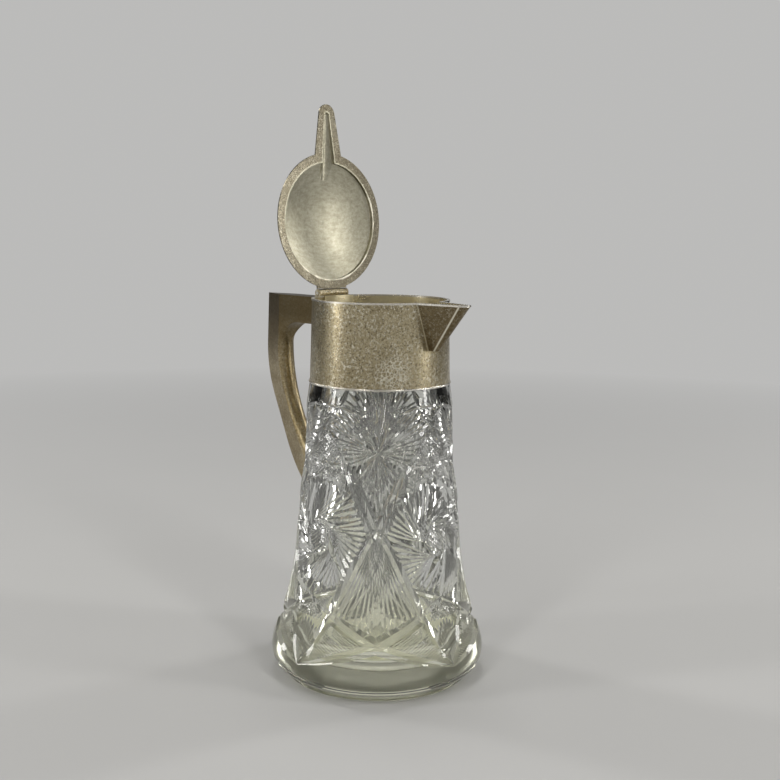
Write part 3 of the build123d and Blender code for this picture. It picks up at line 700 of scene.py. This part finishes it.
# ---------------------------------------------------------------- materials
FLECK_AND_HIGHLIGHT = (0.86, 0.82, 0.68)   # silver that is rubbed bright; also the colour of the painted highlights along edges
GILT = (0.88, 0.80, 0.56)    # thin gilding inside the collar
GILT_SHARE = 0.85
GILT_EDGE = 0.0001           # metres over which the gilding ends
CLOUD_SHARE = 0.55           # of the clouds in what is dulled; the rest is mottle
GLASS_IOR = 1.54
# how fine the patterns are, in cells in a metre
CLOUDS = 38.0
MOTTLE = 300.0
DARK_SPECKS = 850.0
LIGHT_SPECKS = 620.0
LIGHT_PATCHES = 60.0         # areas with more of the light specks
DENTS = 55.0
SCRATCHES = 420.0
HAZE = 160.0                 # of the glass, as is the ripple
RIPPLE = 70.0
GRAIN = 900.0                # of the plaster


class Shader:
    """Small helper that adds nodes to a material."""

    def __init__(self, name):
        self.material = bpy.data.materials.new(name)
        self.material.use_nodes = True
        self.tree = self.material.node_tree
        self.bsdf = self.tree.nodes["Principled BSDF"]
        self.output = self.tree.nodes["Material Output"]
        self.coords = self.tree.nodes.new("ShaderNodeTexCoord").outputs["Object"]

    def add(self, kind, **inputs):
        """New node; an input's name has _ for each space."""
        node = self.tree.nodes.new(kind)
        for key, value in inputs.items():
            self.put(node, key.replace("_", " "), value)
        return node

    def put(self, node, socket, value):
        """Sets an input to a value, or links it to another node's output."""
        if isinstance(value, bpy.types.NodeSocket):
            self.tree.links.new(value, node.inputs[socket])
        else:
            node.inputs[socket].default_value = value

    def stretched(self, scale):
        """The coordinates, scaled by a number for each axis."""
        return self.add("ShaderNodeMapping", Vector=self.coords, Scale=scale).outputs["Vector"]

    def noise(self, scale, detail=3.0, roughness=0.55, vector=None):
        """Cloudy pattern, with some number of cells in a metre."""
        return self.add("ShaderNodeTexNoise", Vector=vector or self.coords, Scale=scale,
                        Detail=detail, Roughness=roughness).outputs["Fac"]

    def ramp(self, value, low, high, low_to=0.0, high_to=1.0):
        """A value that goes from low_to to high_to as another goes from low to high."""
        node = self.add("ShaderNodeMapRange")
        self.put(node, "Value", value)
        self.put(node, "From Min", low)
        self.put(node, "From Max", high)
        self.put(node, "To Min", low_to)
        self.put(node, "To Max", high_to)
        return node.outputs["Result"]

    def mix(self, factor, a, b):
        """Colour between a and b."""
        node = self.tree.nodes.new("ShaderNodeMix")
        node.data_type = "RGBA"
        self.put(node, "Factor", factor)
        for index, value in ((6, a), (7, b)):
            if isinstance(value, bpy.types.NodeSocket):
                self.tree.links.new(value, node.inputs[index])
            else:
                node.inputs[index].default_value = (*value, 1.0)
        return node.outputs[2]

    def maths(self, operation, a, b=0.0):
        node = self.tree.nodes.new("ShaderNodeMath")
        node.operation = operation
        self.put(node, 0, a)
        self.put(node, 1, b)
        return node.outputs[0]

    def vector(self, operation, a, b=None):
        node = self.tree.nodes.new("ShaderNodeVectorMath")
        node.operation = operation
        self.put(node, 0, a)
        if b is not None:
            self.put(node, 1, b)
        return node

    def height(self):
        return self.add("ShaderNodeSeparateXYZ", Vector=self.coords).outputs["Z"]

    def from_point(self, point):
        """Distance from a point, in metres."""
        return self.vector("DISTANCE", self.coords, point).outputs["Value"]

    def from_line(self, a, b):
        """Distance from the straight line through two points, in metres."""
        way = (Vector(b) - Vector(a)).normalized()
        aside = self.vector("CROSS_PRODUCT", self.vector("SUBTRACT", self.coords, a).outputs[0], way)
        return self.vector("LENGTH", aside.outputs[0]).outputs["Value"]

    def bump(self, height, distance, strength, normal=None):
        node = self.add("ShaderNodeBump", Height=height, Distance=distance, Strength=strength)
        if normal is not None:
            self.put(node, "Normal", normal)
        return node.outputs["Normal"]

    def set(self, socket, value):
        """Sets or links an input of the surface's own shader."""
        if isinstance(value, tuple) and len(value) == 3:
            value = (*value, 1.0)
        self.put(self.bsdf, socket, value)


def silver(name, clean, dull, stain_and_shade, rough=(0.22, 0.42), dull_share=(0.42, 0.66), speckle=0.5,
           brush=(900.0, 900.0, 2500.0), flecks=0.3, streaks=0.12, dark_top=None, bright=(),
           scratched=None, gilt_inside=None):
    """Old silver: clean and dulled areas, small dark and light specks, faint polishing lines.

    dark_top is two heights between which the tone darkens as painted shade, with the share of
    it. bright is a list of painted highlights along edges, each a function of the shader that
    gives a distance, its width and its strength. scratched is the middle and radius of a patch
    of fine scratches. Closer to the jug's axis than gilt_inside the silver is pale gold. brush
    is how fine the polishing lines are along each axis.
    """
    s = Shader(name)
    cloud = s.noise(CLOUDS, 5.0, 0.62)
    mottle = s.noise(MOTTLE, 6.0, 0.8)
    patch = s.maths("ADD", s.maths("MULTIPLY", cloud, CLOUD_SHARE),
                    s.maths("MULTIPLY", mottle, 1 - CLOUD_SHARE))
    dulled = s.ramp(patch, *dull_share)
    colour = s.mix(dulled, clean, dull)
    lines = s.noise(1.0, 3.0, 0.6, s.stretched(brush))
    colour = s.mix(s.ramp(lines, 0.35, 0.75, 0.0, streaks * 3), colour, stain_and_shade)
    specks = s.noise(DARK_SPECKS, 3.0, 0.75)
    colour = s.mix(s.ramp(specks, 0.52, 0.62, 0.0, speckle), colour, stain_and_shade)
    light = s.ramp(s.noise(LIGHT_SPECKS, 4.0, 0.8), 0.53, 0.60, 0.0, flecks)
    where = s.ramp(s.noise(LIGHT_PATCHES, 2.0, 0.5), 0.35, 0.60, 0.35, 1.0)
    colour = s.mix(s.maths("MULTIPLY", light, where), colour, FLECK_AND_HIGHLIGHT)
    # painted shade: the tone darkens towards the top, between two heights
    if dark_top:
        low, high, share = dark_top
        colour = s.mix(s.ramp(s.height(), low, high, 0.0, share), colour, stain_and_shade)
    wear = s.maths("ADD", s.maths("MULTIPLY", dulled, 0.6), s.maths("MULTIPLY", specks, 0.4))
    roughness = s.ramp(wear, 0.0, 1.0, *rough)
    if scratched:
        middle, radius = scratched
        web = s.add("ShaderNodeTexVoronoi", Vector=s.coords, Scale=SCRATCHES)
        web.feature = "DISTANCE_TO_EDGE"
        inside = s.ramp(s.from_point(middle), 0.6 * radius, radius, 0.75, 0.0)
        scratch = s.ramp(web.outputs["Distance"], 0.03, 0.10, 1.0, 0.0)
        colour = s.mix(s.maths("MULTIPLY", scratch, inside), colour, FLECK_AND_HIGHLIGHT)
    if gilt_inside:
        radius = s.vector("LENGTH", s.vector("MULTIPLY", s.coords, (1.0, 1.0, 0.0)).outputs[0])
        share = s.ramp(radius.outputs["Value"], gilt_inside - GILT_EDGE, gilt_inside,
                       GILT_SHARE, 0.0)
        colour = s.mix(share, colour, GILT)
    # painted highlights: thin bright lines of rubbed-silver colour along the given edges
    for distance, width, strength in bright:
        edge = s.ramp(distance(s), 0.5 * width, width, strength, 0.0)
        colour = s.mix(edge, colour, FLECK_AND_HIGHLIGHT)
    s.set("Base Color", colour)
    s.set("Metallic", 1.0)
    s.set("Roughness", roughness)
    normal = s.bump(lines, 0.00006, 0.35)
    normal = s.bump(specks, 0.00005, 0.4, normal)
    dents = s.noise(DENTS, 2.0, 0.5)
    s.set("Normal", s.bump(dents, 0.0006, 0.25, normal))
    return s.material


TINT_Z = (0.03, 0.075)       # heights between which the tint of the thick base fades
TINT_BASE = (0.93, 0.93, 0.78)
TINT_BODY = (0.91, 0.915, 0.885)


def lead_glass(name, haze_from, haze_to, clear):
    """Lead glass, faintly straw-coloured, a little cloudy from age.

    Its roughness varies from haze_from to haze_to, and clear is the share that lets light through.
    """
    s = Shader(name)
    s.set("Base Color", s.mix(s.ramp(s.height(), *TINT_Z), TINT_BASE, TINT_BODY))
    s.set("Transmission Weight", clear)
    s.set("IOR", GLASS_IOR)
    haze = s.noise(HAZE, 4.0, 0.6)
    s.set("Roughness", s.ramp(haze, 0.35, 0.75, haze_from, haze_to))
    ripple = s.noise(RIPPLE, 2.0, 0.5)
    s.set("Normal", s.bump(ripple, 0.0003, 0.15))
    return s.material


def plaster():
    """Pale plaster of the cement bed."""
    s = Shader("cement")
    grain = s.noise(GRAIN, 4.0, 0.6)
    s.set("Base Color", s.mix(grain, (0.60, 0.55, 0.46), (0.78, 0.74, 0.66)))
    s.set("Roughness", 0.85)
    s.set("Normal", s.bump(grain, 0.0002, 0.6))
    return s.material


# ---------------------------------------------------------------- the pieces
SKIN = lead_glass("cut_glass", 0.0, 0.03, 1.0)
FACETS = lead_glass("cut_facets", 0.0, 0.03, 0.82)
FOOT = lead_glass("ground_foot", 0.14, 0.26, 0.60)
glass = cut_glass(SKIN, FACETS)
ground_foot(glass, FOOT)
finish_normals(glass)
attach(glass, "jug")
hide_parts("glass_body")

# places on the silver, metres, in the frame at rest; a line is two points on it
SPOUT_RIDGE = ((0.07274, 0.00458, 0.2489), (0.05041, 0.00219, 0.220))
SPOUT_SEAM = ((0.0434, 0.01115, 0.2489), (0.04543, 0.00266, 0.220))
DISH_MIDDLE = (-0.0496, 0.0, 0.2996)
DISH_R = 0.0396
# towards this side the dish's edge gets a painted highlight, a thin bright ring
DISH_HIGHLIGHT_SIDE = (0.0, 0.7, -0.7)
HIGHLIGHT_FROM = -0.025           # the painted highlight sets in between these distances towards that side
HIGHLIGHT_TO = 0.015
NO_HIGHLIGHT_GAP = 0.0012              # added to the distance from the edge where no highlight is painted
PATCHES = 110.0              # cells in a metre, for patches where the painted highlight on the edge is fainter
PATCH_NO_HIGHLIGHT_GAP = 0.0008        # added to the distance there
SCRATCHED = (0.0381, -0.0253, 0.2065)
SCRATCHED_R = 0.013
GILT_R = 0.0446


def other_side(line):
    """The mirror image of a line, on the jug's other side."""
    return tuple((x, -y, z) for x, y, z in line)


def seam(s):
    """Distance from the nearer seam between spout and collar."""
    return s.maths("MINIMUM", s.from_line(*SPOUT_SEAM), s.from_line(*other_side(SPOUT_SEAM)))


def ridge(s):
    """Distance from the nearer ridge of the spout."""
    return s.maths("MINIMUM", s.from_line(*SPOUT_RIDGE), s.from_line(*other_side(SPOUT_RIDGE)))


def dish_edge(s):
    """Distance from the dish's edge, made larger where no highlight is painted on it."""
    edge = s.maths("ABSOLUTE", s.maths("SUBTRACT", s.from_point(DISH_MIDDLE), DISH_R))
    place = s.vector("SUBTRACT", s.coords, DISH_MIDDLE).outputs[0]
    towards = s.vector("DOT_PRODUCT", place, DISH_HIGHLIGHT_SIDE).outputs["Value"]
    no_highlight = s.ramp(towards, HIGHLIGHT_FROM, HIGHLIGHT_TO, NO_HIGHLIGHT_GAP, 0.0)
    patchy = s.ramp(s.noise(PATCHES), 0.40, 0.62, 0.0, PATCH_NO_HIGHLIGHT_GAP)
    return s.maths("ADD", edge, s.maths("ADD", no_highlight, patchy))


WORN = silver("silver_worn", (0.57, 0.49, 0.32), (0.32, 0.26, 0.145), (0.08, 0.06, 0.03),
              speckle=0.8, flecks=0.9, scratched=(SCRATCHED, SCRATCHED_R), gilt_inside=GILT_R)
# the spout carries painted highlights: thin bright lines along its seams with the collar and along
# its ridges
SPOUT = silver("silver_spout", (0.25, 0.20, 0.115), (0.135, 0.10, 0.05), (0.06, 0.04, 0.02),
               bright=[(seam, 0.0012, 0.8), (ridge, 0.0007, 0.85)])
# the handle is painted darker towards its top, as painted shade
HANDLE = silver("silver_handle", (0.52, 0.43, 0.26), (0.29, 0.22, 0.11), (0.06, 0.042, 0.016),
                rough=(0.25, 0.45), dull_share=(0.36, 0.60), dark_top=(0.195, 0.235, 0.82))
# painted highlight: a thin bright ring along the dish's edge, on the lid and its dish
DISH_EDGE_HIGHLIGHT = [(dish_edge, 0.0010, 0.75)]
LID = silver("silver_lid", (0.27, 0.245, 0.18), (0.17, 0.15, 0.10), (0.07, 0.05, 0.03),
             rough=(0.22, 0.36), speckle=0.3, flecks=0.25, brush=(2600.0, 260.0, 2600.0),
             streaks=0.2, bright=DISH_EDGE_HIGHLIGHT)
INSIDE = silver("silver_dish", (0.50, 0.475, 0.37), (0.37, 0.35, 0.26), (0.15, 0.13, 0.08),
                rough=(0.34, 0.46), speckle=0.15, flecks=0.12, brush=(1500.0, 160.0, 420.0),
                streaks=0.16, bright=DISH_EDGE_HIGHLIGHT)
BRIGHT = silver("silver_bright", (0.88, 0.86, 0.80), (0.70, 0.65, 0.56), (0.3, 0.25, 0.18),
                rough=(0.22, 0.36), speckle=0.2)
CEMENT = plaster()
# the other pieces are of the worn silver
LOOKS = {"glass_body": SKIN, "cement_bed": CEMENT,
         "rim_wire": BRIGHT, "collar_bead": BRIGHT, "hinge_pin": BRIGHT,
         "spout": SPOUT, "lid_dome": INSIDE, "lid_flange": LID, "hinge_leaf_lid": LID,
         "handle_sides": HANDLE, "handle_inner_strip": HANDLE, "handle_top_plate": HANDLE}
for name, node in NODES.items():
    node.data.materials.clear()
    node.data.materials.append(LOOKS.get(name, WORN))


# ---------------------------------------------------------------- camera, floor and light
JUG_TURN = math.radians(44.0)     # from the spout round to the camera, towards -Y
CAMERA_D = 730.92                 # mm from the jug's axis
CAMERA_H = 298.84                 # mm above the table
CAMERA_PITCH = math.radians(8.493)
CAMERA_ROLL = math.radians(0.687)
CAMERA_YAW = math.radians(0.529)
LENS = 51.607
SENSOR = 36.0
NEAREST = 0.01                    # metres; the camera sees nothing closer
HORIZON = (0.50, 0.498, 0.49)     # colour of the horizon and of the floor far away
SKY = [                           # sine of the angle above the horizon, share of its brightness
    (0.0, 1.0), (0.19, 1.0), (0.27, 0.10), (0.65, 0.10), (0.85, 0.55), (1.0, 0.55)]
GROUND_R = 6.0
GROUND_SIDES = 96
GROUND_FADE = (0.3, 1.6)          # metres; between these its colour turns into the horizon's
GROUND_TONES = ((0.52, 0.518, 0.51), (0.54, 0.537, 0.528))
# tall narrow softboxes round the jug and one over it, in the camera's frame, metres and watts
STRIPS = [(-1.45, -0.35, 0.75), (-1.25, 0.75, 0.9), (1.45, -0.35, 0.75), (1.25, 0.75, 0.9),
          (-0.75, -1.25, 1.3), (0.8, -1.2, 1.3)]
STRIP_SIZE = (0.16, 1.2)
TOP_SPOT = (0.0, 0.3, 1.7)
TOP_SIZE = (0.5, 0.5)
LAMP_W = 6.0
LAMP_COLOUR = (1.0, 0.99, 0.97)
LAMP_AIM = (0, 0, 0.12)
# dark cards beside the view that give the cut glass its dark facets: from and to how many
# degrees from straight behind the jug, on both sides, and whether the silver shows the wall
CARDS = [(21.0, 80.0, True), (100.0, 160.0, False)]
CARD_R = 2.2                      # metres from the jug's axis to the wall of a card
CARD_NEAR = 0.45                  # and to where its foot starts on the floor
CARD_LIFT = 0.001
CARD_H = 1.3
CARD_STEPS = 8
CARD_TONES = ((0.010, 0.010, 0.010), (0.014, 0.014, 0.014))


def turned_in(v):
    """From the camera's own frame to the jug's."""
    s = Vector((math.sin(JUG_TURN), -math.cos(JUG_TURN), 0))
    t = Vector((math.cos(JUG_TURN), math.sin(JUG_TURN), 0))
    return Vector((v.dot(s), v.dot(t), v.z))


def camera():
    """The camera that was fitted to the photograph."""
    right = Vector((math.cos(CAMERA_YAW), -math.sin(CAMERA_YAW), 0))
    ahead = Vector((math.sin(CAMERA_YAW), math.cos(CAMERA_YAW), 0))
    forward = ahead * math.cos(CAMERA_PITCH) - Vector((0, 0, math.sin(CAMERA_PITCH)))
    up = Vector((0, 0, math.cos(CAMERA_PITCH))) + ahead * math.sin(CAMERA_PITCH)
    x = right * math.cos(CAMERA_ROLL) + up * math.sin(CAMERA_ROLL)
    y = up * math.cos(CAMERA_ROLL) - right * math.sin(CAMERA_ROLL)
    data = bpy.data.cameras.new("camera")
    data.sensor_width = SENSOR
    data.lens = LENS
    data.clip_start = NEAREST
    obj = bpy.data.objects.new("camera", data)
    bpy.context.scene.collection.objects.link(obj)
    axes = [turned_in(v) for v in (x, y, -forward)]
    place = turned_in(Vector((0, -CAMERA_D, CAMERA_H))) * MM
    obj.matrix_world = Matrix.Translation(place) @ Matrix(axes).transposed().to_4x4()
    bpy.context.scene.camera = obj


def softbox(name, place, size):
    """Area light. Its place is in the camera's frame, in metres, from the middle of the foot."""
    data = bpy.data.lights.new(name, "AREA")
    data.shape = "RECTANGLE"
    data.size, data.size_y = size
    data.energy = LAMP_W
    data.color = LAMP_COLOUR
    obj = bpy.data.objects.new(name, data)
    bpy.context.scene.collection.objects.link(obj)
    spot = turned_in(Vector(place))
    obj.location = spot
    way = turned_in(Vector(LAMP_AIM)) - spot
    obj.rotation_euler = way.to_track_quat("-Z", "Y").to_euler()
    obj.visible_camera = False


def card_black():
    """Near-black, without a shine."""
    s = Shader("card")
    s.set("Base Color", s.mix(s.noise(8.0), *CARD_TONES))
    s.set("Roughness", 0.9)
    s.set("Specular IOR Level", 0.0)
    return s.material


def card(name, start, end, in_silver, black):
    """Curved dark card: a foot on the floor and a wall on its far edge.

    Both show through glass, and the wall in silver as well if asked. Both leave the light and
    the view alone.
    """
    foot = ((CARD_NEAR, CARD_LIFT), (CARD_R, CARD_LIFT))
    wall = ((CARD_R, CARD_LIFT), (CARD_R, CARD_H))
    for part, edges, shown in (("foot", foot, False), ("wall", wall, in_silver)):
        verts = []
        for angle in np.radians(np.linspace(start, end, CARD_STEPS + 1)):
            for r, z in edges:
                verts.append(turned_in(Vector((r * math.sin(angle), r * math.cos(angle), z))))
        faces = [(2 * i, 2 * i + 2, 2 * i + 3, 2 * i + 1) for i in range(CARD_STEPS)]
        obj = mesh_object(f"{name}_{part}", verts, faces)
        obj.data.materials.append(black)
        obj.visible_camera = False
        obj.visible_glossy = shown
        obj.visible_diffuse = False
        obj.visible_shadow = False


def sky():
    """Pale round the horizon, dark above it and half pale overhead, as in a tent of paper."""
    studio = bpy.data.worlds.new("studio")
    bpy.context.scene.world = studio
    studio.use_nodes = True
    tree = studio.node_tree
    tree.nodes.clear()
    coords = tree.nodes.new("ShaderNodeTexCoord")
    split = tree.nodes.new("ShaderNodeSeparateXYZ")
    ramp = tree.nodes.new("ShaderNodeValToRGB")
    background = tree.nodes.new("ShaderNodeBackground")
    output = tree.nodes.new("ShaderNodeOutputWorld")
    tree.links.new(coords.outputs["Generated"], split.inputs[0])
    tree.links.new(split.outputs["Z"], ramp.inputs[0])
    tree.links.new(ramp.outputs[0], background.inputs[0])
    tree.links.new(background.outputs[0], output.inputs[0])
    stops = ramp.color_ramp.elements
    stops.remove(stops[1])
    for number, (position, value) in enumerate(SKY):
        stop = stops.new(position) if number else stops[0]
        stop.color = tuple(value * c for c in HORIZON) + (1.0,)


def floor():
    """Plain pale floor: a disc whose edge meets the pale horizon."""
    work = bmesh.new()
    bmesh.ops.create_circle(work, cap_ends=True, radius=GROUND_R, segments=GROUND_SIDES)
    mesh = bpy.data.meshes.new("floor")
    work.to_mesh(mesh)
    work.free()
    obj = bpy.data.objects.new("floor", mesh)
    bpy.context.scene.collection.objects.link(obj)
    s = Shader("floor")
    s.set("Base Color", s.mix(s.noise(6.0, 3.0, 0.5), *GROUND_TONES))
    s.set("Roughness", 0.8)
    s.set("Specular IOR Level", 0.1)
    distance = s.vector("LENGTH", s.coords).outputs["Value"]
    far = s.add("ShaderNodeEmission", Color=(*HORIZON, 1.0))
    blend = s.add("ShaderNodeMixShader")
    through = s.add("ShaderNodeLightPath").outputs["Is Transmission Ray"]
    s.put(blend, 0, s.maths("MAXIMUM", s.ramp(distance, *GROUND_FADE), through))
    s.tree.links.new(s.bsdf.outputs[0], blend.inputs[1])
    s.tree.links.new(far.outputs[0], blend.inputs[2])
    s.tree.links.new(blend.outputs[0], s.output.inputs["Surface"])
    mesh.materials.append(s.material)


camera()
sky()
floor()
for number, spot in enumerate(STRIPS):
    softbox(f"strip_{number}", spot, STRIP_SIZE)
softbox("top", TOP_SPOT, TOP_SIZE)
black = card_black()
for number, (start, end, in_silver) in enumerate(CARDS):
    card(f"card_right_{number}", start, end, in_silver, black)
    card(f"card_left_{number}", -end, -start, in_silver, black)
bpy.context.scene.view_settings.view_transform = "Standard"
